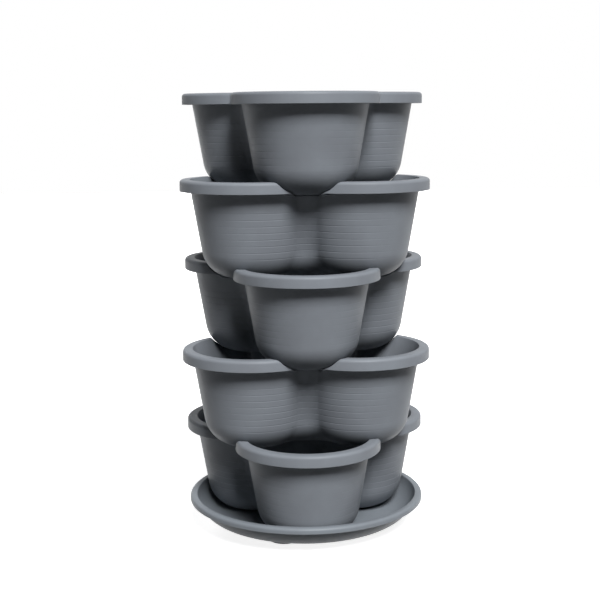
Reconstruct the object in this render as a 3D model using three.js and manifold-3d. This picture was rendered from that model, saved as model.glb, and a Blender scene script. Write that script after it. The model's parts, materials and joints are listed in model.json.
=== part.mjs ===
// Vertical planter tower: five three-lobed pots stacked crosswise on a round saucer.
// Millimetres, +Z up. The origin is on the tower's axis, on the ground under the saucer's feet.
// The front of the tower is -Y. Odd pots, counted from the top, have a lobe to the front, and the
// pots between them are turned by half the angle between two lobes.
import * as THREE from 'three';
import { mergeVertices } from 'three/addons/utils/BufferGeometryUtils.js';
import Module from 'manifold-3d';

// The plan of a pot: three round lobes about the axis, joined by narrow seam walls
const lobeCount = 3;
const lobeCentreRadius = 74;      // axis of the tower to the centre of a lobe
const rimLobeRadius = 88.4;       // outside of the rim about a lobe's centre
const rimSeamRadius = 7;          // hollow corner of the rim where two lobes meet
const seamWallRadius = 20;        // hollow corner of the wall where two lobes meet
const seamSpreadShare = 1.15;     // least reach of lobe and corner, of half the way from lobe to lobe

// A pot from the side
const potHeight = 120;            // rim top to floor underside
const potWall = 2;                // moulded thickness of wall, floor, rim and skirt
const draftAngle = THREE.MathUtils.degToRad(9.9);
const heelRadius = 38;            // large round between the wall and the floor
const heelNeckShare = 0.87;       // most room beside a lobe's neck that the round may fill
const rimOverhang = 10.5;         // skirt's outside to wall's outside, at the top
const skirtHeight = 14;
const rimEdgeRadius = 4;          // rounded upper edge of the rim

// The saddles: dips of the rim, where the lobes of the pot above rest
const saddleDepth = 16.3;         // rim top to the bottom of the dip
const saddleClearance = 1.6;      // room beside the lobe in its saddle
const saddleBlend = 5;            // height over which the dip runs out into the level rim
const saddleLip = 2.6;            // depth of the rim's edge where the dip has cut the skirt away
const edgeShare = 0.8;            // most that the rounded edge may take of the depth of the rim's edge
const tuckStartShare = 0.68;      // of the saddle's depth, where the rim starts to tuck in towards the wall
const tuckEndShare = 0.98;        // of the saddle's depth, where it is tucked in altogether
const tuckedOverhang = 3;         // tucked rim's outside to wall's outside

// Drain holes in the floor of each pot
const drainRadius = 4;
const drainCircleRadius = 58;     // axis of the tower to the hole in each lobe

// The saucer
const saucerClearance = 3.5;      // bottom pot to the saucer's wall, level with the saucer's rim
const saucerOverhang = 6.6;       // skirt's outside to wall's outside, at the top
const saucerSkirtHeight = 7;
const saucerWall = 2;
const saucerDepth = 29.5;         // rim top to floor
const saucerHeelRadius = 37;      // outside round between the wall and the floor
const saucerEdgeRadius = 3.5;
const saucerDraftAngle = THREE.MathUtils.degToRad(13);
const footCount = 4;
const footRadius = 20;            // at the ground
const footTaper = 4;              // a foot is this much wider where it leaves the floor
const footHeight = 7;
const footCircleRadius = 79;
const footAngle = THREE.MathUtils.degToRad(-22);   // first foot, from the front towards +X

// Fits
const seatGap = 0.3;              // between two pieces that rest on each other
const cutOverrun = 1;             // how far a cutter or a joined boss runs past the face it meets

// How finely the surfaces are divided
const wideAngle = THREE.MathUtils.degToRad(60);   // the open part of a lobe, each way from its middle
const wideSteps = 8;
const flankSteps = 7;
const seamSteps = 3;
const heelSteps = 4;
const edgeSteps = 2;              // rounded edge of a rim
const flangeSteps = 2;            // top of a pot's rim, so that a saddle is round across it too
const draftPasses = 4;            // rounds of fitting the wall's top edge to the dips
const saucerSides = 48;
const saucerHeelSteps = 5;
const footSides = 20;
const drainSides = 10;

// Worked out from the sizes above
const halfLobeAngle = Math.PI / lobeCount;
const wallTopRadius = rimLobeRadius - rimOverhang;
const lobeAside = lobeCentreRadius * Math.sin(halfLobeAngle);
const heelRound = Math.min(heelRadius, heelRoom());
const heelCentreZ = heelRound - potHeight;
const heelStartZ = heelTopZ(heelRound);
const heelStartRadius = wallTopRadius + heelStartZ * Math.tan(draftAngle);
const floorLobeRadius = heelStartRadius - heelRound * Math.cos(draftAngle);
const heelSeamReach = heelStartRadius + wallSeamRadius(heelStartRadius);
const stackPitch = potHeight - saddleDepth + seatGap;
const saucerInside = lobeCentreRadius + lobeRadiusAt(saucerDepth - seatGap) + saucerClearance;
const saucerWallTop = saucerInside + saucerWall / Math.cos(saucerDraftAngle);
const saucerRimRadius = saucerWallTop + saucerOverhang;
const saucerFloorZ = footHeight + saucerWall;
const bottomPotRimZ = saucerFloorZ + seatGap + potHeight;

const wasm = await Module();
wasm.setup();

// A closed mesh becomes a solid that can be joined and cut.
function toSolid(geometry) {
  const bare = geometry.clone();
  bare.deleteAttribute('normal');
  bare.deleteAttribute('uv');
  const merged = mergeVertices(bare);
  return new wasm.Manifold(new wasm.Mesh({
    numProp: 3,
    vertProperties: new Float32Array(merged.attributes.position.array),
    triVerts: new Uint32Array(merged.index.array),
  }));
}

function toGeometry(solid) {
  const mesh = solid.getMesh();
  const geometry = new THREE.BufferGeometry();
  geometry.setAttribute('position', new THREE.BufferAttribute(new Float32Array(mesh.vertProperties), 3));
  geometry.setIndex(new THREE.BufferAttribute(new Uint32Array(mesh.triVerts), 1));
  geometry.computeVertexNormals();
  return geometry;
}

// Where an outline's hollow corners are centred, from its lobe radius and its corner radius.
function seamCentre(lobeRadius, seamRadius) {
  const reach = Math.sqrt((lobeRadius + seamRadius) ** 2 - lobeAside ** 2);
  const distance = lobeCentreRadius * Math.cos(halfLobeAngle) + reach;
  const tangentAngle = Math.atan2(
    distance * Math.sin(halfLobeAngle),
    distance * Math.cos(halfLobeAngle) - lobeCentreRadius,
  );
  return { distance, tangentAngle };
}

// Where a round heel of a given radius leaves the wall.
function heelTopZ(radius) {
  return radius - potHeight - radius * Math.sin(draftAngle);
}

// The wall's hollow corner, which gets larger where small lobes would hardly meet.
function wallSeamRadius(lobeRadius) {
  return Math.max(seamWallRadius, seamSpreadShare * lobeAside - lobeRadius);
}

// The largest round heel that leaves a neck between each lobe's floor and the middle.
function heelRoom() {
  const lobeRadius = wallTopRadius + heelTopZ(heelRadius) * Math.tan(draftAngle);
  const seamRadius = wallSeamRadius(lobeRadius);
  const neck = seamCentre(lobeRadius, seamRadius).distance * Math.sin(halfLobeAngle);
  return (heelNeckShare * neck - seamRadius) / Math.cos(draftAngle);
}

// A lobe's outside radius at a height over the pot's underside.
function lobeRadiusAt(height) {
  const z = height - potHeight;
  if (z > heelStartZ) return wallTopRadius + z * Math.tan(draftAngle);
  return floorLobeRadius + Math.sqrt(heelRound ** 2 - (heelRound - height) ** 2);
}

// The angles at which a lobe is divided, closer together on its flanks, where the saddles are.
function lobeAngles(tangentAngle) {
  const angles = [];
  for (let i = 0; i < flankSteps; i++) {
    angles.push(THREE.MathUtils.lerp(-tangentAngle, -wideAngle, i / flankSteps));
  }
  for (let i = 0; i < wideSteps; i++) {
    angles.push(THREE.MathUtils.lerp(-wideAngle, wideAngle, i / wideSteps));
  }
  for (let i = 0; i <= flankSteps; i++) {
    angles.push(THREE.MathUtils.lerp(wideAngle, tangentAngle, i / flankSteps));
  }
  return angles;
}

// A trefoil outline: lobe arcs joined by tangent hollow corners, anticlockwise from the front.
function trefoil(lobeRadius, seamRadius) {
  const { distance, tangentAngle } = seamCentre(lobeRadius, seamRadius);
  const points = [];
  for (let k = 0; k < lobeCount; k++) {
    const heading = -Math.PI / 2 + k * 2 * halfLobeAngle;
    const lobeCentre = new THREE.Vector2(lobeCentreRadius, 0).rotateAround(new THREE.Vector2(), heading);
    for (const angle of lobeAngles(tangentAngle)) {
      points.push(new THREE.Vector2(lobeRadius, 0)
        .rotateAround(new THREE.Vector2(), heading + angle).add(lobeCentre));
    }
    const seamHeading = heading + halfLobeAngle;
    const corner = new THREE.Vector2(distance, 0).rotateAround(new THREE.Vector2(), seamHeading);
    const halfSweep = tangentAngle - halfLobeAngle;
    for (let i = 1; i < seamSteps; i++) {
      const sweep = THREE.MathUtils.lerp(halfSweep, -halfSweep, i / seamSteps);
      points.push(new THREE.Vector2(seamRadius, 0)
        .rotateAround(new THREE.Vector2(), seamHeading + Math.PI + sweep).add(corner));
    }
  }
  return points;
}

// Height of a lobe's underside over its floor, at a distance from the lobe's centre.
function lobeUnderside(distance) {
  const along = THREE.MathUtils.clamp(distance - floorLobeRadius, 0, heelRound);
  return heelRound - Math.sqrt(heelRound ** 2 - along ** 2);
}

// Height of the rim's top: level, with a dip over each seam that follows the lobe above.
function rimTop(point) {
  let height = 0;
  for (let k = 0; k < lobeCount; k++) {
    const heading = -Math.PI / 2 + (2 * k + 1) * halfLobeAngle;
    const above = new THREE.Vector2(lobeCentreRadius, 0).rotateAround(new THREE.Vector2(), heading);
    const dip = lobeUnderside(point.distanceTo(above) - saddleClearance) - saddleDepth;
    const overlap = Math.max(saddleBlend - Math.abs(dip), 0);
    height = Math.min(height, Math.min(dip, 0) - overlap ** 2 / (4 * saddleBlend));
  }
  return height;
}

// The wall's outline at a height, drawn in by the inset from the outside.
function wallOutline(z, inset) {
  const drawnIn = inset / Math.cos(draftAngle);
  const lobeRadius = wallTopRadius + z * Math.tan(draftAngle);
  return trefoil(lobeRadius - drawnIn, wallSeamRadius(lobeRadius) + drawnIn);
}

// The top edge of the wall: it follows the rim's dips, and its draft goes with its height.
function wallTopRing(below, inset, rimHeight) {
  const outline = wallOutline(0, inset);
  return outline.map((start, i) => {
    let point = start;
    let z = -below;
    for (let pass = 0; pass < draftPasses; pass++) {
      z = rimHeight(point) - below;
      point = wallOutline(z, inset)[i];
    }
    return new THREE.Vector3(point.x, point.y, z);
  });
}

// One ring of the round heel, from its start at the wall down to the level floor.
function heelRing(step, inset) {
  const angle = THREE.MathUtils.lerp(draftAngle, Math.PI / 2, step / heelSteps);
  const radius = heelRound - inset;
  const lobeRadius = floorLobeRadius + radius * Math.cos(angle);
  const z = heelCentreZ - radius * Math.sin(angle);
  return trefoil(lobeRadius, heelSeamReach - lobeRadius).map((p) => new THREE.Vector3(p.x, p.y, z));
}

// The rim's plan, drawn in from its outside. At the bottom of a saddle it tucks in towards the wall, so
// that the lobe above stands clear over it.
function rimPlan(inset, rimHeight) {
  const outside = trefoil(rimLobeRadius, rimSeamRadius);
  const level = trefoil(rimLobeRadius - inset, rimSeamRadius + inset);
  return level.map((point, i) => {
    const dip = rimHeight(outside[i]);
    const share = THREE.MathUtils.smoothstep(-dip, tuckStartShare * saddleDepth, tuckEndShare * saddleDepth);
    return share > 0 ? point.lerp(wallOutline(dip, inset - tuckedOverhang)[i], share) : point;
  });
}

// One ring of the rim, drawn in from its outside and a given depth under its top.
function rimRing(inset, below, rimHeight) {
  return rimPlan(inset, rimHeight).map((p) => new THREE.Vector3(p.x, p.y, rimHeight(p) - below));
}

// The skirt's lower edge: level, but never above the lip that is left under a dip.
function skirtBottom(rimZ) {
  return Math.min(-skirtHeight, rimZ - saddleLip);
}

function skirtRing(inset, rimHeight) {
  return rimPlan(inset, rimHeight).map((p) => new THREE.Vector3(p.x, p.y, skirtBottom(rimHeight(p))));
}

// One ring of the rim's rounded edge, which gets smaller where the lip is all that is left of the skirt.
function edgeRing(angle, rimHeight) {
  const inside = rimPlan(rimEdgeRadius, rimHeight);
  return rimPlan(0, rimHeight).map((p, i) => {
    const depth = rimHeight(p) - skirtBottom(rimHeight(p));
    const radius = Math.min(rimEdgeRadius, edgeShare * depth);
    const point = p.clone().lerp(inside[i], radius / rimEdgeRadius * (1 - Math.cos(angle)));
    return new THREE.Vector3(point.x, point.y, rimHeight(point) - radius * (1 - Math.sin(angle)));
  });
}

// One ring on the rim's top, part of the way from its rounded edge to the inside of the wall.
function flangeRing(share, rimHeight) {
  const inside = wallTopRing(0, potWall, rimHeight);
  return edgeRing(Math.PI / 2, rimHeight).map((p, i) => {
    const point = p.lerp(inside[i], share);
    return point.setZ(rimHeight(new THREE.Vector2(point.x, point.y)));
  });
}

// Joins rings of equal length into one closed surface with a level floor at each end.
function skinOfRings(rings) {
  const count = rings[0].length;
  const positions = [];
  const index = [];
  for (const ring of rings) for (const p of ring) positions.push(p.x, p.y, p.z);
  for (let r = 0; r + 1 < rings.length; r++) {
    for (let i = 0; i < count; i++) {
      const a = r * count + i;
      const b = r * count + (i + 1) % count;
      index.push(a, b, b + count, a, b + count, a + count);
    }
  }
  const first = THREE.ShapeUtils.triangulateShape(rings[0].map((p) => new THREE.Vector2(p.x, p.y)), []);
  for (const [a, b, c] of first) index.push(c, b, a);
  const lastStart = (rings.length - 1) * count;
  const last = THREE.ShapeUtils.triangulateShape(rings.at(-1).map((p) => new THREE.Vector2(p.x, p.y)), []);
  for (const [a, b, c] of last) index.push(lastStart + a, lastStart + b, lastStart + c);
  const geometry = new THREE.BufferGeometry();
  geometry.setAttribute('position', new THREE.Float32BufferAttribute(positions, 3));
  geometry.setIndex(index);
  return geometry;
}

// The pot's skin, from the underside of its floor up the outside, over the rim and down the inside.
function potShell(rimHeight) {
  const rings = [];
  for (let step = heelSteps; step >= 0; step--) rings.push(heelRing(step, 0));
  rings.push(wallTopRing(potWall, 0, rimHeight));
  rings.push(rimRing(potWall, potWall, rimHeight));
  rings.push(skirtRing(potWall, rimHeight));
  rings.push(skirtRing(0, rimHeight));
  for (let i = 0; i <= edgeSteps; i++) rings.push(edgeRing(i / edgeSteps * Math.PI / 2, rimHeight));
  for (let i = 1; i < flangeSteps; i++) rings.push(flangeRing(i / flangeSteps, rimHeight));
  rings.push(wallTopRing(0, potWall, rimHeight));
  for (let step = 0; step <= heelSteps; step++) rings.push(heelRing(step, potWall));
  return skinOfRings(rings);
}

// A round hole through the floor, one in each lobe and one on the axis.
function drainCutters() {
  const length = potWall + 2 * cutOverrun;
  const places = [new THREE.Vector2()];
  for (let k = 0; k < lobeCount; k++) {
    const heading = -Math.PI / 2 + k * 2 * halfLobeAngle;
    places.push(new THREE.Vector2(drainCircleRadius, 0).rotateAround(new THREE.Vector2(), heading));
  }
  return places.map((place) => {
    const hole = new THREE.CylinderGeometry(drainRadius, drainRadius, length, drainSides);
    return toSolid(hole.rotateX(Math.PI / 2).translate(place.x, place.y, potWall / 2 - potHeight));
  });
}

function potGeometry(rimHeight) {
  let solid = toSolid(potShell(rimHeight));
  for (const cutter of drainCutters()) solid = solid.subtract(cutter);
  return toGeometry(solid);
}

// The saucer's section, turned about the tower's axis; its heights count from the rim's top.
function saucerBody() {
  const floorZ = -saucerDepth;
  const underside = floorZ - saucerWall;
  const heelZ = underside + saucerHeelRadius;
  const start = heelZ - saucerHeelRadius * Math.sin(saucerDraftAngle);
  const heelX = saucerWallTop + start * Math.tan(saucerDraftAngle)
    - saucerHeelRadius * Math.cos(saucerDraftAngle);
  const heel = (radius, step) => {
    const angle = THREE.MathUtils.lerp(saucerDraftAngle, Math.PI / 2, step / saucerHeelSteps);
    return new THREE.Vector2(heelX + radius * Math.cos(angle), heelZ - radius * Math.sin(angle));
  };
  const section = [new THREE.Vector2(0, underside)];
  for (let step = saucerHeelSteps; step >= 0; step--) section.push(heel(saucerHeelRadius, step));
  section.push(new THREE.Vector2(saucerWallTop - saucerWall * Math.tan(saucerDraftAngle), -saucerWall));
  section.push(new THREE.Vector2(saucerRimRadius - saucerWall, -saucerWall));
  section.push(new THREE.Vector2(saucerRimRadius - saucerWall, -saucerSkirtHeight));
  section.push(new THREE.Vector2(saucerRimRadius, -saucerSkirtHeight));
  for (let i = 0; i <= edgeSteps; i++) {
    const angle = i / edgeSteps * Math.PI / 2;
    section.push(new THREE.Vector2(
      saucerRimRadius - saucerEdgeRadius * (1 - Math.cos(angle)),
      -saucerEdgeRadius * (1 - Math.sin(angle)),
    ));
  }
  section.push(new THREE.Vector2(saucerInside, 0));
  for (let step = 0; step <= saucerHeelSteps; step++) section.push(heel(saucerHeelRadius - saucerWall, step));
  section.push(new THREE.Vector2(0, floorZ));
  return new THREE.LatheGeometry(section, saucerSides)
    .rotateX(Math.PI / 2)
    .translate(0, 0, saucerFloorZ + saucerDepth);
}

// A foot stands on the ground and runs a little way into the saucer's floor.
function foot(k) {
  const heading = -Math.PI / 2 + footAngle + k * 2 * Math.PI / footCount;
  const rootHeight = footHeight + saucerWall / 2;
  return toSolid(new THREE.CylinderGeometry(footRadius + footTaper, footRadius, rootHeight, footSides)
    .rotateX(Math.PI / 2)
    .translate(footCircleRadius * Math.cos(heading), footCircleRadius * Math.sin(heading), rootHeight / 2));
}

function saucerGeometry() {
  let solid = toSolid(saucerBody());
  for (let k = 0; k < footCount; k++) solid = solid.add(foot(k));
  return toGeometry(solid);
}

const potPlastic = new THREE.MeshStandardMaterial({ color: 0x6d7277, roughness: 0.5, metalness: 0 });
const saucerPlastic = new THREE.MeshStandardMaterial({ color: 0x666c71, roughness: 0.45, metalness: 0 });

const tower = new THREE.Group();

const saucer = new THREE.Mesh(saucerGeometry(), saucerPlastic);
saucer.name = 'saucer';
tower.add(saucer);

const saddledPot = potGeometry(rimTop);
const plainPot = potGeometry(() => 0);
const potNames = ['pot_bottom', 'pot_lower', 'pot_middle', 'pot_upper', 'pot_top'];
potNames.forEach((name, level) => {
  const isTop = level === potNames.length - 1;
  const pot = new THREE.Mesh(isTop ? plainPot : saddledPot, potPlastic);
  pot.name = name;
  pot.position.z = bottomPotRimZ + level * stackPitch;
  pot.rotation.z = level % 2 === 0 ? 0 : halfLobeAngle;
  tower.add(pot);
});

export default tower;
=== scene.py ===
# %% [markdown]
# A planter tower: five three-lobed pots, stacked crosswise, over one round saucer. All six are
# single mouldings in grey polypropylene, and each stands in the one below by its shape alone. So
# the likeness lies in two shapes, pot and saucer, and in how soft light runs over them.
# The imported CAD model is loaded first. It says where each piece stands, and every piece that is
# modelled here takes the place of one of its solids.

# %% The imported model
import json
import math

import bmesh
import bpy
from mathutils import Matrix, Vector

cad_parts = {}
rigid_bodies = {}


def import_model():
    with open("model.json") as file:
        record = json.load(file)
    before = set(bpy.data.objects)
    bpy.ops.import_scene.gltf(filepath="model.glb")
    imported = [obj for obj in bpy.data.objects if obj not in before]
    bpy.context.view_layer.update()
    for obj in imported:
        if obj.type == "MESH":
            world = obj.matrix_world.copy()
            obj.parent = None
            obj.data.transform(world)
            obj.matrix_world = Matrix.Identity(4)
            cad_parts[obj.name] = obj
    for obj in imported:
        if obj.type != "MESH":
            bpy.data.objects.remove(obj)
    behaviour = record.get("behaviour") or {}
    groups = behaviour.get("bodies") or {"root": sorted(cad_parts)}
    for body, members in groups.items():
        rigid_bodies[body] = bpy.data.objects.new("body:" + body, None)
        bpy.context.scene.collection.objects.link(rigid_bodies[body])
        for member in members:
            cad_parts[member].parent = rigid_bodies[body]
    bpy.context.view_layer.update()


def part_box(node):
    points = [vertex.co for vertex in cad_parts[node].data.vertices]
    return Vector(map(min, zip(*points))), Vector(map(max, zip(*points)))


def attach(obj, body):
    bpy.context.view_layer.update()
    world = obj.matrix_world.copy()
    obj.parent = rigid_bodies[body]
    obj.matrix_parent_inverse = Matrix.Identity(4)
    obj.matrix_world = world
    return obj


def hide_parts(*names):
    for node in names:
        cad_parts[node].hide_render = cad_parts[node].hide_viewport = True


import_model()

MM = 0.001

# %% [markdown]
# The picture was taken from a little under the height of the top rim, slightly from the left and
# through a long lens. The widths of the rims give the distance, the ovals of the rims give the
# height, and the frame sits a little low on the lens axis, which a small shift repeats.

# %% The camera
AROUND = 0.0368                 # radians to the left of straight in front
DOWN = math.radians(6.365)
ROLL = 0.0077
DISTANCE = 1.486
EYE_HEIGHT = 0.5268

camera_data = bpy.data.cameras.new("photo_camera")
camera_data.sensor_width = 36.0
camera_data.lens = 71.24
camera_data.shift_x = -0.007
camera_data.shift_y = -0.1
camera_data.clip_start = 0.05
camera_data.clip_end = 50.0
camera = bpy.data.objects.new("photo_camera", camera_data)
bpy.context.scene.collection.objects.link(camera)
camera.location = (-DISTANCE * math.sin(AROUND), -DISTANCE * math.cos(AROUND), EYE_HEIGHT)
turn = (
    Matrix.Rotation(-AROUND, 3, "Z")
    @ Matrix.Rotation(math.pi / 2 - DOWN, 3, "X")
    @ Matrix.Rotation(-ROLL, 3, "Z")
)
camera.rotation_euler = turn.to_euler()
bpy.context.scene.camera = camera
bpy.context.scene.view_settings.view_transform = "Standard"
print("camera at", [round(v, 3) for v in camera.location])

# %% [markdown]
# The plan of a pot is a trefoil: three round lobes about the axis, each joined to the next by a
# tight hollow corner that is tangent to both. Two radii are enough to draw it at any height, the
# lobe's and the corner's. The sizes are those of the CAD model, in millimetres.

# %% Sizes of a pot
LOBES = 3
LOBE_CENTRE = 74.0              # axis of the tower to the centre of a lobe
RIM_LOBE = 88.4                 # outside of the rim about a lobe's centre
RIM_CORNER = 7.0                # hollow corner of the rim where two lobes meet
WALL_CORNER = 20.0              # hollow corner of the wall
POT_HEIGHT = 120.0
WALL = 2.0
DRAFT = math.radians(9.9)
HEEL = 38.0                     # large round between wall and floor
RIM_OVERHANG = 10.5             # how far the rim stands out from the wall
SKIRT = 14.0                    # height of the rim's hanging edge
RIM_ROUND = 4.0                 # rounded edge between the rim's top and its skirt

HALF_LOBE = math.pi / LOBES
FRONT = -math.pi / 2            # heading of the lobe that faces the camera
LOBE_ASIDE = LOBE_CENTRE * math.sin(HALF_LOBE)
WALL_TOP = RIM_LOBE - RIM_OVERHANG
HEEL_Z = HEEL - POT_HEIGHT
HEEL_TOP_Z = HEEL_Z - HEEL * math.sin(DRAFT)
HEEL_TOP = WALL_TOP + HEEL_TOP_Z * math.tan(DRAFT)
FLOOR_LOBE = HEEL_TOP - HEEL * math.cos(DRAFT)
CORNER_REACH = HEEL_TOP + WALL_CORNER   # lobe and corner radius together, all down the heel
print("lobe radius of rim, wall top, heel top and floor",
      [round(v, 1) for v in (RIM_LOBE, WALL_TOP, HEEL_TOP, FLOOR_LOBE)])

# %% The trefoil outline
OPEN_ANGLE = math.radians(60)   # the middle of a lobe, each way, which no other piece comes near
PARTS = (("first flank", 26), ("open", 40), ("last flank", 26), ("corner", 12))
STATIONS = [
    (k, part, i / steps) for k in range(LOBES) for part, steps in PARTS for i in range(steps)
]


def outline_point(station, lobe, corner):
    """One point of the outline for a lobe radius and a corner radius."""
    k, part, share = station
    heading = FRONT + 2 * k * HALF_LOBE
    reach = math.sqrt((lobe + corner) ** 2 - LOBE_ASIDE ** 2)
    distance = LOBE_CENTRE * math.cos(HALF_LOBE) + reach
    tangent = math.atan2(
        distance * math.sin(HALF_LOBE), distance * math.cos(HALF_LOBE) - LOBE_CENTRE
    )
    if part == "corner":
        seam = heading + HALF_LOBE
        angle = seam + (1 - 2 * share) * (tangent - HALF_LOBE)
        return (
            distance * math.cos(seam) - corner * math.cos(angle),
            distance * math.sin(seam) - corner * math.sin(angle),
        )
    ends = {
        "first flank": (-tangent, -OPEN_ANGLE),
        "open": (-OPEN_ANGLE, OPEN_ANGLE),
        "last flank": (OPEN_ANGLE, tangent),
    }
    start, end = ends[part]
    angle = heading + start + (end - start) * share
    return (
        LOBE_CENTRE * math.cos(heading) + lobe * math.cos(angle),
        LOBE_CENTRE * math.sin(heading) + lobe * math.sin(angle),
    )


def trefoil(lobe, corner):
    """The whole outline, anticlockwise from the lobe at the front."""
    return [outline_point(station, lobe, corner) for station in STATIONS]


rim_outline = trefoil(RIM_LOBE, RIM_CORNER)
print("points in an outline", len(rim_outline))

# %% [markdown]
# Below its rim, a pot's wall leans in by its draft, so that it leaves the mould, and then turns
# into the floor in one large round. The same rule gives the inside, drawn in by the wall's
# thickness.

# %% Wall and heel
def wall_radii(z, inset=0.0):
    """Lobe and corner radius of wall or heel at a height under the rim top."""
    heel = HEEL - inset
    if z > HEEL_Z - heel * math.sin(DRAFT):
        drawn_in = inset / math.cos(DRAFT)
        return WALL_TOP + z * math.tan(DRAFT) - drawn_in, WALL_CORNER + drawn_in
    lobe = FLOOR_LOBE + math.sqrt(max(heel ** 2 - (HEEL_Z - z) ** 2, 0.0))
    return lobe, CORNER_REACH - lobe


def level_ring(z, inset=0.0):
    """A level ring on wall or heel, as points in millimetres."""
    return [(x, y, z) for x, y in trefoil(*wall_radii(z, inset))]


def spread(start, end, count):
    """Evenly spaced values from start up to, but without, end."""
    return [start + (end - start) * i / count for i in range(count)]


def heel_levels(inset, steps):
    """Heights of rings on the heel, from the floor up to where the wall begins."""
    heel = HEEL - inset
    return [HEEL_Z - heel * math.sin(a) for a in spread(math.pi / 2, DRAFT, steps)]


print("lobe and corner radius half way down", [round(v, 1) for v in wall_radii(-POT_HEIGHT / 2)])

# %% [markdown]
# Where a pot is to carry another, its rim dips over each of its three corners into a saddle that
# follows the round underside of the lobe above. The dip is worked out from that lobe, with a
# little room beside it, and it runs out softly into the level rim. The CAD model's facets are
# coarser and need more room, so its saddles are 1 mm wider than these.

# %% The saddles
SADDLE_DEPTH = 16.3
SADDLE_ROOM = 0.6               # room beside the lobe that lies in the saddle
SADDLE_BLEND = 3.0              # height over which the dip runs out into the level rim
SADDLE_LIP = 2.6                # what is left of the hanging edge under the dip


def saddled(x, y):
    """Height of the rim top of a pot that carries another."""
    height = 0.0
    for k in range(LOBES):
        seam = FRONT + (2 * k + 1) * HALF_LOBE
        aside = math.hypot(x - LOBE_CENTRE * math.cos(seam), y - LOBE_CENTRE * math.sin(seam))
        along = min(max(aside - SADDLE_ROOM - FLOOR_LOBE, 0.0), HEEL)
        dip = HEEL - math.sqrt(HEEL ** 2 - along ** 2) - SADDLE_DEPTH
        overlap = max(SADDLE_BLEND - abs(dip), 0.0)
        height = min(height, min(dip, 0.0) - overlap ** 2 / (4 * SADDLE_BLEND))
    return height


def plain(x, y):
    """Height of the rim top of a pot that carries nothing."""
    return 0.0


print("a saddle's lowest point", round(min(saddled(x, y) for x, y in rim_outline), 2), "mm")

# %% [markdown]
# The rim is a flange that turns down into a skirt. Its rings follow the rim's height, and its
# rounded edge gets smaller where a saddle has cut the skirt away to a lip. There the rim also
# tucks in towards the wall, so that the lobe above stands clear over it.

# %% Rings of the rim
FIT_PASSES = 5                  # rounds of fitting the wall's top edge to the dips
INNER_ROUND = 0.8               # softened inner edge of the rim
FLANGE_STEPS = 4                # divisions of the flange's top, so that a saddle is truly round
EDGE_SHARE = 0.8                # most that the rounded edge may take of the skirt's depth
TUCK_FROM = 0.8 * SADDLE_DEPTH  # depth of the dip at which the rim starts to tuck in
TUCK_TO = SADDLE_DEPTH          # depth at which it is tucked in altogether
TUCKED_OVERHANG = 3.0           # how far the tucked rim still stands out from the wall


def wall_top_ring(below, inset, rim_top):
    """The wall's top edge: it follows the dips, and its draft goes with its height."""
    ring = []
    for station in STATIONS:
        x, y = outline_point(station, *wall_radii(0.0, inset))
        for _ in range(FIT_PASSES):
            z = rim_top(x, y) - below
            x, y = outline_point(station, *wall_radii(z, inset))
        ring.append((x, y, z))
    return ring


def rim_plan(inset, rim_top):
    """The rim's plan, drawn in from its outside, with its tucks at the bottoms of the saddles."""
    points = []
    for station in STATIONS:
        dip = rim_top(*outline_point(station, RIM_LOBE, RIM_CORNER))
        share = min(max((-dip - TUCK_FROM) / (TUCK_TO - TUCK_FROM), 0.0), 1.0)
        share = share * share * (3 - 2 * share)
        x, y = outline_point(station, RIM_LOBE - inset, RIM_CORNER + inset)
        if share > 0:
            tucked_x, tucked_y = outline_point(station, *wall_radii(dip, inset - TUCKED_OVERHANG))
            x += (tucked_x - x) * share
            y += (tucked_y - y) * share
        points.append((x, y))
    return points


def rim_ring(inset, below, rim_top):
    """A ring of the rim, at a depth under its top."""
    return [(x, y, rim_top(x, y) - below) for x, y in rim_plan(inset, rim_top)]


def skirt_bottom(rim_z):
    return min(-SKIRT, rim_z - SADDLE_LIP)


def skirt_ring(inset, above, rim_top):
    """A ring of the skirt, a little above its lower edge."""
    return [(x, y, skirt_bottom(rim_top(x, y)) + above) for x, y in rim_plan(inset, rim_top)]


def edge_ring(angle, rim_top):
    """A ring of the rounded edge, from its side at no angle to its top at a quarter turn."""
    ring = []
    for outer, inner in zip(rim_plan(0.0, rim_top), rim_plan(RIM_ROUND, rim_top)):
        rim_z = rim_top(*outer)
        size = min(RIM_ROUND, EDGE_SHARE * (rim_z - skirt_bottom(rim_z)))
        share = size / RIM_ROUND * (1 - math.cos(angle))
        x = outer[0] + (inner[0] - outer[0]) * share
        y = outer[1] + (inner[1] - outer[1]) * share
        ring.append((x, y, rim_top(x, y) - size * (1 - math.sin(angle))))
    return ring


def flange_ring(step, rim_top):
    """A ring on the flange's top, between its rounded edge and the inner wall."""
    share = step / FLANGE_STEPS
    ring = []
    edge = edge_ring(math.pi / 2, rim_top)
    wall = wall_top_ring(0.0, WALL - INNER_ROUND, rim_top)
    for start, end in zip(edge, wall):
        x = start[0] + (end[0] - start[0]) * share
        y = start[1] + (end[1] - start[1]) * share
        ring.append((x, y, rim_top(x, y)))
    return ring


tucks = [math.dist(*pair) for pair in zip(rim_plan(0.0, saddled), rim_outline)]
print("the rim tucks in by up to", round(max(tucks), 1), "mm")

# %% [markdown]
# The photograph shows thin level lines on the walls, about eight to a pot and 8 mm apart. They
# show best beside the corners and fade towards the middle of each lobe. Bump in the material
# would be lost on a printed part, so they are fine grooves, cut into the rings themselves, and as
# deep as they need to be to show. A plain ring above and below each keeps its shading narrow.

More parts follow.
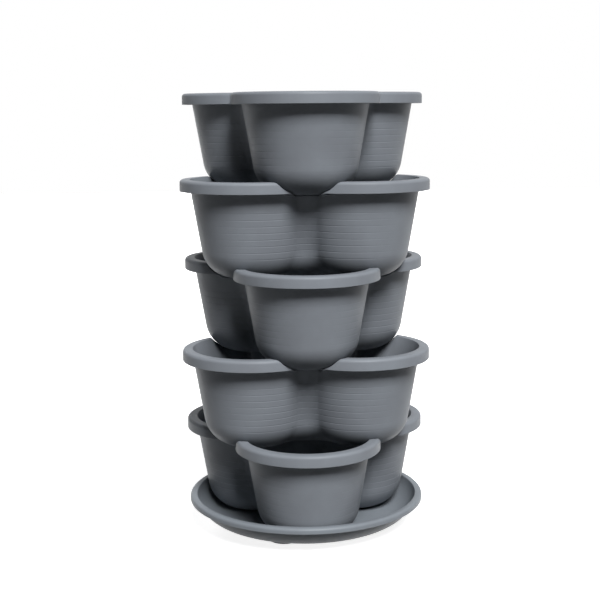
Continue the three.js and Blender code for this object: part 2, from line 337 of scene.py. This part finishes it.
# %% Level lines on the wall
LEVEL_TOP_Z = -24.0             # the highest level ring, under the deepest part of a saddle
HEEL_STEPS = 22
WALL_STEPS = 8
LINE_FIRST_Z = -37.5            # the highest line, under the rim top
LINE_STEP = 7.9
LINE_COUNT = 8
LINE_DEPTH = 0.18
LINE_HALF_WIDTH = 0.65
LINE_GUARD = 1.0                # from the middle of a line to the plain rings beside it
LINE_CLEAR = 1.5                # from the middle of a line to any other ring
LINE_FLOOR_SHARE = 0.35         # how much of the half width the line's floor takes
LINE_LEAST_SHARE = 0.15         # of the depth, on the middle of a lobe


def outside_levels():
    """Height and groove depth of each level ring on the outside, from the floor up."""
    lines = [LINE_FIRST_Z - LINE_STEP * i for i in range(LINE_COUNT)]
    levels = []
    wall = spread(HEEL_TOP_Z, LEVEL_TOP_Z, WALL_STEPS) + [LEVEL_TOP_Z]
    for z in heel_levels(0.0, HEEL_STEPS) + wall:
        if all(abs(z - line) > LINE_CLEAR for line in lines):
            levels.append((z, 0.0))
    floor_half = LINE_HALF_WIDTH * LINE_FLOOR_SHARE
    for line in lines:
        for side in (-1, 1):
            levels.append((line + side * LINE_GUARD, 0.0))
            levels.append((line + side * LINE_HALF_WIDTH, 0.0))
            levels.append((line + side * floor_half, LINE_DEPTH))
    return sorted(levels)


def grooved_ring(z, depth):
    """A level ring on the outside, drawn in by a groove that is shallower on a lobe's middle."""
    lobe, corner = wall_radii(z)
    ring = []
    for station in STATIONS:
        _, part, share = station
        aside = abs(2 * share - 1) if part == "open" else 1.0
        cut = depth * (LINE_LEAST_SHARE + (1 - LINE_LEAST_SHARE) * aside * aside)
        ring.append((*outline_point(station, lobe - cut, corner + cut), z))
    return ring


print("rings on the outside of the wall", len(outside_levels()))

# %% [markdown]
# A pot isn't round, so neither a spin nor a mirror makes it. Each piece starts as a circle that
# is laid on the first outline and extruded ring by ring through the whole section: up the
# outside, over the rim, and down the inside. Every point keeps a number, its place in the
# outline, so that each new ring can be laid exactly where it belongs.

# %% Laying rings
def lay(piece, ring):
    """Puts the selected ring of the piece on these points, given in millimetres."""
    mesh = bmesh.from_edit_mesh(piece.data)
    place = mesh.verts.layers.int["place"]
    for vert in mesh.verts:
        if vert.select:
            vert.co = Vector(ring[vert[place]]) * MM
    bmesh.update_edit_mesh(piece.data)


def start_piece(name, ring):
    """A circle of as many points as the ring has, laid on it and left in edit mode."""
    bpy.ops.object.select_all(action="DESELECT")
    bpy.ops.mesh.primitive_circle_add(vertices=len(ring), radius=RIM_LOBE * MM)
    piece = bpy.context.object
    piece.name = name
    piece.data.name = name
    bpy.ops.object.mode_set(mode="EDIT")
    mesh = bmesh.from_edit_mesh(piece.data)
    place = mesh.verts.layers.int.new("place")
    for vert in mesh.verts:
        vert[place] = vert.index
    lay(piece, ring)
    return piece


def close_piece(piece):
    """Fills the two open ends, turns all faces outwards and leaves edit mode."""
    bpy.ops.mesh.select_all(action="DESELECT")
    bpy.ops.mesh.select_non_manifold()
    bpy.ops.mesh.fill_holes(sides=0)
    bpy.ops.mesh.select_all(action="SELECT")
    bpy.ops.mesh.normals_make_consistent(inside=False)
    bpy.ops.object.mode_set(mode="OBJECT")
    piece.data.attributes.remove(piece.data.attributes["place"])


print("a ring takes", len(STATIONS), "points")

# %% The section of a pot
SKIRT_CHAMFER = 0.4             # softened lower corners of the skirt
EDGE_STEPS = 6
INNER_MIDDLE = 0.3 * INNER_ROUND   # both ways from the corner to the middle of its round
INSIDE_WALL_STEPS = 4
INSIDE_HEEL_STEPS = 16


def pot_rings(rim_top):
    """Every ring of a pot's skin, from the underside of its floor to the top of its floor."""
    rings = [grooved_ring(z, depth) for z, depth in outside_levels()]
    rings.append(wall_top_ring(WALL, 0.0, rim_top))
    rings.append(rim_ring(WALL, WALL, rim_top))
    rings.append(skirt_ring(WALL, SKIRT_CHAMFER, rim_top))
    rings.append(skirt_ring(WALL - SKIRT_CHAMFER, 0.0, rim_top))
    rings.append(skirt_ring(SKIRT_CHAMFER, 0.0, rim_top))
    rings.append(skirt_ring(0.0, SKIRT_CHAMFER, rim_top))
    for i in range(EDGE_STEPS + 1):
        rings.append(edge_ring(i / EDGE_STEPS * math.pi / 2, rim_top))
    for i in range(1, FLANGE_STEPS):
        rings.append(flange_ring(i, rim_top))
    rings.append(wall_top_ring(0.0, WALL - INNER_ROUND, rim_top))
    rings.append(wall_top_ring(INNER_MIDDLE, WALL - INNER_MIDDLE, rim_top))
    rings.append(wall_top_ring(INNER_ROUND, WALL, rim_top))
    inside = spread(LEVEL_TOP_Z, HEEL_TOP_Z, INSIDE_WALL_STEPS)
    inside += sorted(heel_levels(WALL, INSIDE_HEEL_STEPS), reverse=True)
    return rings + [level_ring(z, WALL) for z in inside]


def make_pot(name, rim_top):
    rings = pot_rings(rim_top)
    pot = start_piece(name, rings[0])
    for ring in rings[1:]:
        bpy.ops.mesh.extrude_region()
        lay(pot, ring)
    close_piece(pot)
    print(name, "rings", len(rings), "faces", len(pot.data.polygons))
    return pot


# %% [markdown]
# Water runs from pot to pot through four holes in each floor, one in every lobe and one on the
# axis. They are cut with cylinders, as a drill would cut them.

# %% Drain holes
DRAIN_RADIUS = 4.0
DRAIN_CIRCLE = 58.0
DRAIN_SIDES = 32


def drill(pot):
    """Cuts the drain holes through the floor of a pot whose rim top is at height zero."""
    places = [(0.0, 0.0)]
    for k in range(LOBES):
        heading = FRONT + 2 * k * HALF_LOBE
        places.append((DRAIN_CIRCLE * math.cos(heading), DRAIN_CIRCLE * math.sin(heading)))
    for x, y in places:
        bpy.ops.object.select_all(action="DESELECT")
        bpy.ops.mesh.primitive_cylinder_add(
            vertices=DRAIN_SIDES,
            radius=DRAIN_RADIUS * MM,
            depth=4 * WALL * MM,
            location=(x * MM, y * MM, (WALL / 2 - POT_HEIGHT) * MM),
        )
        cutter = bpy.context.object
        bpy.context.view_layer.objects.active = pot
        hole = pot.modifiers.new("drain hole", "BOOLEAN")
        hole.operation = "DIFFERENCE"
        hole.solver = "EXACT"
        hole.object = cutter
        bpy.ops.object.modifier_apply(modifier=hole.name)
        bpy.data.objects.remove(cutter)


print("drain holes in a floor", LOBES + 1)

# %% The two kinds of pot
bpy.ops.object.select_all(action="DESELECT")
plain_pot = make_pot("pot_plain_rim", plain)
drill(plain_pot)
saddled_pot = make_pot("pot_saddled_rim", saddled)
drill(saddled_pot)

# %% [markdown]
# Each pot of the tower is a copy of one of the two, with a mesh of its own. It is set at the
# height of the solid that it replaces, and every second pot is turned by half the angle between
# two lobes, so that its lobes lie over the saddles of the pot below.

# %% The five pots
POTS = ("pot_bottom", "pot_lower", "pot_middle", "pot_upper", "pot_top")
SMOOTH_ANGLE = math.radians(35)   # edges sharper than this stay crisp


def own_copy(source, name):
    bpy.ops.object.select_all(action="DESELECT")
    source.select_set(True)
    bpy.context.view_layer.objects.active = source
    bpy.ops.object.duplicate(linked=False)
    copy = bpy.context.object
    copy.name = name
    copy.data.name = name
    return copy


def smooth(piece):
    bpy.ops.object.select_all(action="DESELECT")
    piece.select_set(True)
    bpy.context.view_layer.objects.active = piece
    bpy.ops.object.shade_smooth_by_angle(angle=SMOOTH_ANGLE)


for level, node in enumerate(POTS):
    source = plain_pot if node == "pot_top" else saddled_pot
    pot = own_copy(source, node + "_shell")
    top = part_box(node)[1].z
    pot.location = (0.0, 0.0, top)
    pot.rotation_euler = (0.0, 0.0, HALF_LOBE * (level % 2))
    bpy.ops.object.transform_apply(location=True, rotation=True, scale=True)
    smooth(pot)
    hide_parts(node)
    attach(pot, node)
    print(pot.name, "rim top at", round(top / MM, 1), "mm")
for source in (plain_pot, saddled_pot):
    bpy.data.objects.remove(source)

# %% [markdown]
# The saucer is round, so its section is drawn once, as a chain of points from the axis out under
# the floor, up the wall, over the rim and back along the inside, and spun about the axis.

# %% The saucer's section
SAUCER_RIM = 148.133            # outside of the rim
SAUCER_OVERHANG = 6.6
SAUCER_SKIRT = 7.0
SAUCER_DEPTH = 29.5             # rim top to floor
SAUCER_HEEL = 37.0
SAUCER_ROUND = 3.5
SAUCER_DRAFT = math.radians(13)
SAUCER_TOP = 38.5               # rim top over the ground
SAUCER_HEEL_STEPS = 14
SAUCER_WALL_TOP = SAUCER_RIM - SAUCER_OVERHANG
SAUCER_INSIDE = SAUCER_WALL_TOP - WALL / math.cos(SAUCER_DRAFT)


def saucer_section():
    """Points of the section as distance from the axis and height over the ground."""
    floor = SAUCER_TOP - SAUCER_DEPTH
    heel_z = floor - WALL + SAUCER_HEEL
    heel_start = heel_z - SAUCER_HEEL * math.sin(SAUCER_DRAFT) - SAUCER_TOP
    heel_x = (
        SAUCER_WALL_TOP
        + heel_start * math.tan(SAUCER_DRAFT)
        - SAUCER_HEEL * math.cos(SAUCER_DRAFT)
    )

    def heel(radius, angles):
        return [(heel_x + radius * math.cos(a), heel_z - radius * math.sin(a)) for a in angles]

    turn_up = spread(math.pi / 2, SAUCER_DRAFT, SAUCER_HEEL_STEPS) + [SAUCER_DRAFT]
    points = [(0.0, floor - WALL)]
    points += heel(SAUCER_HEEL, turn_up)
    points.append((SAUCER_WALL_TOP - WALL * math.tan(SAUCER_DRAFT), SAUCER_TOP - WALL))
    points.append((SAUCER_RIM - WALL, SAUCER_TOP - WALL))
    skirt_z = SAUCER_TOP - SAUCER_SKIRT
    points.append((SAUCER_RIM - WALL, skirt_z + SKIRT_CHAMFER))
    points.append((SAUCER_RIM - WALL + SKIRT_CHAMFER, skirt_z))
    points.append((SAUCER_RIM - SKIRT_CHAMFER, skirt_z))
    points.append((SAUCER_RIM, skirt_z + SKIRT_CHAMFER))
    for a in spread(0.0, math.pi / 2, EDGE_STEPS) + [math.pi / 2]:
        points.append((
            SAUCER_RIM - SAUCER_ROUND * (1 - math.cos(a)),
            SAUCER_TOP - SAUCER_ROUND * (1 - math.sin(a)),
        ))
    points.append((SAUCER_INSIDE + INNER_ROUND, SAUCER_TOP))
    points.append((SAUCER_INSIDE + INNER_MIDDLE, SAUCER_TOP - INNER_MIDDLE))
    points.append((
        SAUCER_INSIDE - INNER_ROUND * math.tan(SAUCER_DRAFT), SAUCER_TOP - INNER_ROUND
    ))
    points += heel(SAUCER_HEEL - WALL, reversed(turn_up))
    points.append((0.0, floor))
    return points


section = saucer_section()
print("points in the saucer's section", len(section))

# %% Spinning the saucer
SPIN_STEPS = 144


def spin_section(name, points):
    """A closed body of revolution about the axis, from points given in millimetres."""
    bpy.ops.object.select_all(action="DESELECT")
    bpy.ops.mesh.primitive_plane_add(size=MM)
    piece = bpy.context.object
    piece.name = name
    piece.data.name = name
    bpy.ops.object.mode_set(mode="EDIT")
    bpy.ops.mesh.merge(type="CENTER")
    x, z = points[0]
    bpy.ops.transform.translate(value=(x * MM, 0.0, z * MM))
    for next_x, next_z in points[1:]:
        step = ((next_x - x) * MM, 0.0, (next_z - z) * MM)
        bpy.ops.mesh.extrude_region_move(TRANSFORM_OT_translate={"value": step})
        x, z = next_x, next_z
    bpy.ops.mesh.select_all(action="SELECT")
    bpy.ops.mesh.spin(
        steps=SPIN_STEPS, angle=2 * math.pi, center=(0.0, 0.0, 0.0), axis=(0.0, 0.0, 1.0)
    )
    bpy.ops.mesh.select_all(action="SELECT")
    bpy.ops.mesh.remove_doubles(threshold=0.01 * MM)
    bpy.ops.mesh.normals_make_consistent(inside=False)
    bpy.ops.object.mode_set(mode="OBJECT")
    return piece


saucer = spin_section("saucer_shell", section)
print("saucer faces", len(saucer.data.polygons))

# %% [markdown]
# Four low feet are moulded under the saucer. Each is a cylinder, a little wider where it leaves
# the floor, with a softened edge on the ground, and is joined into the saucer.

# %% The feet
FOOT_HEIGHT = 7.0
FOOT_RADIUS = 20.0
FOOT_TAPER = 4.0                # how much wider a foot is where it leaves the floor
FOOT_CIRCLE = 79.0
FOOT_SIDES = 64
FOOT_FIRST = math.radians(-22)
FOOT_COUNT = 4
FOOT_ROUND = 1.0                # softened edge on the ground


def add_foot(angle):
    """A foot at an angle from the front, from the ground into the saucer's floor."""
    root = FOOT_HEIGHT + WALL / 2
    heading = FRONT + angle
    bpy.ops.object.select_all(action="DESELECT")
    bpy.ops.mesh.primitive_cone_add(
        vertices=FOOT_SIDES,
        radius1=FOOT_RADIUS * MM,
        radius2=(FOOT_RADIUS + FOOT_TAPER) * MM,
        depth=root * MM,
        location=(
            FOOT_CIRCLE * math.cos(heading) * MM,
            FOOT_CIRCLE * math.sin(heading) * MM,
            root / 2 * MM,
        ),
    )
    foot = bpy.context.object
    bpy.ops.object.mode_set(mode="EDIT")
    bpy.ops.mesh.select_all(action="DESELECT")
    mesh = bmesh.from_edit_mesh(foot.data)
    for face in mesh.faces:
        face.select_set(face.normal.z < -0.9)
    bmesh.update_edit_mesh(foot.data)
    bpy.ops.mesh.bevel(offset=FOOT_ROUND * MM, segments=3)
    bpy.ops.object.mode_set(mode="OBJECT")
    return foot


for k in range(FOOT_COUNT):
    foot = add_foot(FOOT_FIRST + k * 2 * math.pi / FOOT_COUNT)
    bpy.ops.object.transform_apply(location=True, rotation=True, scale=True)
    bpy.context.view_layer.objects.active = saucer
    union = saucer.modifiers.new("foot", "BOOLEAN")
    union.operation = "UNION"
    union.solver = "EXACT"
    union.object = foot
    bpy.ops.object.modifier_apply(modifier=union.name)
    bpy.data.objects.remove(foot)

smooth(saucer)
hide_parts("saucer")
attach(saucer, "saucer")
print("saucer with feet", len(saucer.data.polygons), "faces")

# %% [markdown]
# Polypropylene for garden pots is moulded in one colour, with no paint. It comes out of the mould
# with a satin skin: soft, wide highlights, very faint clouds of tone where the melt flowed, and a
# fine grain from the mould's sparked surface. Colours are written as they look and turned into
# the linear values that the renderer works with.

# %% Nodes and colours
def linear(hex_colour):
    """A colour like 6d7277 as the linear RGBA that a shader expects."""
    values = []
    for i in (0, 2, 4):
        v = int(hex_colour[i:i + 2], 16) / 255
        values.append(v / 12.92 if v <= 0.04045 else ((v + 0.055) / 1.055) ** 2.4)
    return (*values, 1.0)


def add(tree, kind, settings, links):
    """A node with its properties set, and its sockets given a value or joined to another's output."""
    node = tree.nodes.new(kind)
    for key, value in settings.items():
        setattr(node, key, value)
    for socket, value in links.items():
        if isinstance(value, bpy.types.NodeSocket):
            tree.links.new(value, node.inputs[socket])
        else:
            node.inputs[socket].default_value = value
    return node


def empty_material(name):
    material = bpy.data.materials.new(name)
    material.use_nodes = True
    material.node_tree.nodes.clear()
    return material, material.node_tree


POT_LIGHT, POT_DARK = "757a80", "6f7379"
SAUCER_LIGHT, SAUCER_DARK = "747a80", "6e7379"
print("pot plastic in linear values", [round(v, 3) for v in linear(POT_LIGHT)[:3]])

# %% Moulded polypropylene
MIX_A, MIX_B, MIX_RESULT = 6, 7, 2   # a Mix node's colour sockets share their names with others
CLOUD_MM = 45.0                 # clouds of tone, where the melt flowed
GRAIN_MM = 0.9                  # the mould's grain is finer, and is drawn as coarse as it shows
GRAIN_DEPTH_MM = 0.015
SHEEN_LEVEL = 0.15              # a polished surface has 0.5, but the grain breaks up the shine


def moulded_polypropylene(name, light, dark, smooth_roughness, dull_roughness):
    """Satin moulded plastic whose tone and gloss drift slightly over the surface."""
    material, tree = empty_material(name)
    place = add(tree, "ShaderNodeTexCoord", {}, {}).outputs["Object"]
    clouds = add(tree, "ShaderNodeTexNoise", {}, {
        "Vector": place, "Scale": 1 / (CLOUD_MM * MM), "Detail": 3.0, "Roughness": 0.55,
    }).outputs["Fac"]
    tone = add(tree, "ShaderNodeMapRange", {}, {
        "Value": clouds, "From Min": 0.3, "From Max": 0.7,
    }).outputs["Result"]
    colour = add(tree, "ShaderNodeMix", {"data_type": "RGBA"}, {
        "Factor": tone, MIX_A: linear(dark), MIX_B: linear(light),
    }).outputs[MIX_RESULT]
    gloss = add(tree, "ShaderNodeMapRange", {}, {
        "Value": clouds, "From Min": 0.3, "From Max": 0.7,
        "To Min": dull_roughness, "To Max": smooth_roughness,
    }).outputs["Result"]
    grain = add(tree, "ShaderNodeTexNoise", {}, {
        "Vector": place, "Scale": 1 / (GRAIN_MM * MM), "Detail": 2.0, "Roughness": 0.6,
    }).outputs["Fac"]
    bump = add(tree, "ShaderNodeBump", {}, {
        "Height": grain, "Distance": GRAIN_DEPTH_MM * MM, "Strength": 1.0,
    }).outputs["Normal"]
    plastic = add(tree, "ShaderNodeBsdfPrincipled", {}, {
        "Base Color": colour, "Roughness": gloss, "Normal": bump, "IOR": 1.49,
        "Specular IOR Level": SHEEN_LEVEL,
    })
    add(tree, "ShaderNodeOutputMaterial", {}, {"Surface": plastic.outputs["BSDF"]})
    return material


print("clouds of", CLOUD_MM, "mm and grain of", GRAIN_MM, "mm")

# %% The two plastics
pot_plastic = moulded_polypropylene(
    "moulded_polypropylene_slate", POT_LIGHT, POT_DARK, smooth_roughness=0.44, dull_roughness=0.5
)
saucer_plastic = moulded_polypropylene(
    "moulded_polypropylene_saucer", SAUCER_LIGHT, SAUCER_DARK, smooth_roughness=0.4, dull_roughness=0.46
)

for piece in [bpy.data.objects[node + "_shell"] for node in POTS]:
    piece.data.materials.clear()
    piece.data.materials.append(pot_plastic)
saucer.data.materials.clear()
saucer.data.materials.append(saucer_plastic)
print("materials", pot_plastic.name, saucer_plastic.name)

# %% [markdown]
# The tower stands on a plain white floor in front of nothing but white. To the camera, and in
# reflections, floor and world are white, while the light that they give the tower is much less,
# so the background stays white without washing out the grey. The floor keeps the tower's shadow.

# %% What is seen directly
WHITE = (1.0, 1.0, 1.0, 1.0)


def seen_directly(tree):
    """1 for what the camera, a reflection or a clear material shows, 0 for light on surfaces."""
    ray = add(tree, "ShaderNodeLightPath", {}, {})
    either = add(tree, "ShaderNodeMath", {"operation": "MAXIMUM"}, {
        0: ray.outputs["Is Camera Ray"], 1: ray.outputs["Is Glossy Ray"],
    }).outputs["Value"]
    return add(tree, "ShaderNodeMath", {"operation": "MAXIMUM"}, {
        0: either, 1: ray.outputs["Is Transmission Ray"],
    }).outputs["Value"]


print("floor and world are shown as", WHITE[:3])

# %% The floor
FLOOR_SIZE = 12.0
FLOOR_DROP_MM = 0.3
SHOWN_PAINT = "e8e8e8"
GIVEN_PAINT = "3c3c3c"          # what the floor throws back on the tower
GLOW_NEAR = 0.86                # light of its own that lifts the lit floor to white by the tower
GLOW_FAR = 1.0                  # and farther off, where the lamps hardly reach
NEAR_MM = 150.0
FAR_MM = 600.0

floor_material, tree = empty_material("matt_white_floor")
paint = add(tree, "ShaderNodeBsdfDiffuse", {}, {"Color": linear(SHOWN_PAINT)}).outputs["BSDF"]
place = add(tree, "ShaderNodeTexCoord", {}, {}).outputs["Object"]
from_axis = add(tree, "ShaderNodeVectorMath", {"operation": "LENGTH"}, {0: place}).outputs["Value"]
strength = add(tree, "ShaderNodeMapRange", {}, {
    "Value": from_axis, "From Min": NEAR_MM * MM, "From Max": FAR_MM * MM,
    "To Min": GLOW_NEAR, "To Max": GLOW_FAR,
}).outputs["Result"]
glow = add(tree, "ShaderNodeEmission", {}, {"Strength": strength}).outputs["Emission"]
lit = add(tree, "ShaderNodeAddShader", {}, {0: paint, 1: glow}).outputs["Shader"]
plain_paint = add(tree, "ShaderNodeBsdfDiffuse", {}, {"Color": linear(GIVEN_PAINT)}).outputs["BSDF"]
mixed = add(tree, "ShaderNodeMixShader", {}, {
    0: seen_directly(tree), 1: plain_paint, 2: lit,
}).outputs["Shader"]
add(tree, "ShaderNodeOutputMaterial", {}, {"Surface": mixed})

bpy.ops.object.select_all(action="DESELECT")
bpy.ops.mesh.primitive_plane_add(size=FLOOR_SIZE, location=(0.0, 0.0, -FLOOR_DROP_MM * MM))
floor = bpy.context.object
floor.name = "studio_floor"
floor.data.materials.append(floor_material)
print("floor", FLOOR_SIZE, "m square")

# %% The world
WORLD_LIGHT = 0.0               # the lamps alone light the tower
world = bpy.data.worlds.new("studio_white")
bpy.context.scene.world = world
world.use_nodes = True
world.node_tree.nodes.clear()
tree = world.node_tree
shown = add(tree, "ShaderNodeBackground", {}, {"Color": WHITE, "Strength": 1.0})
given = add(tree, "ShaderNodeBackground", {}, {"Color": WHITE, "Strength": WORLD_LIGHT})
mixed = add(tree, "ShaderNodeMixShader", {}, {
    0: seen_directly(tree), 1: given.outputs["Background"], 2: shown.outputs["Background"],
})
add(tree, "ShaderNodeOutputWorld", {}, {"Surface": mixed.outputs["Shader"]})
print("world light on surfaces", WORLD_LIGHT)

# %% [markdown]
# The photograph's light is soft and comes from above and a little to the right of the camera, so
# that each lobe is brightest just right of its middle, and its flanks and the corners fall into
# shade. One large square lamp gives that. It stands far off, so that the top pot and the saucer
# get the same light. A weaker one, low and behind, is for looking at the tower from the back.

# %% Lamps
AIM_HEIGHT = 0.27               # the middle of the tower


def soft_lamp(name, watts, size, azimuth, elevation, distance):
    """A square lamp that looks at the tower's middle; azimuth 0 is the front, 90 the right."""
    data = bpy.data.lights.new(name, "AREA")
    data.shape = "SQUARE"
    data.size = size
    data.energy = watts
    lamp = bpy.data.objects.new(name, data)
    bpy.context.scene.collection.objects.link(lamp)
    a, e = math.radians(azimuth), math.radians(elevation)
    aim = Vector((0.0, 0.0, AIM_HEIGHT))
    away = Vector((math.sin(a) * math.cos(e), -math.cos(a) * math.cos(e), math.sin(e)))
    lamp.location = aim + away * distance
    lamp.rotation_euler = away.to_track_quat("Z", "Y").to_euler()
    return lamp


soft_lamp("key_right", watts=2650.0, size=4.2, azimuth=15, elevation=47, distance=12.0)
behind = soft_lamp("fill_behind", watts=360.0, size=2.4, azimuth=195, elevation=9, distance=7.0)
behind.visible_camera = False
behind.visible_glossy = False    # else the rims' far edges flash in the view from the front
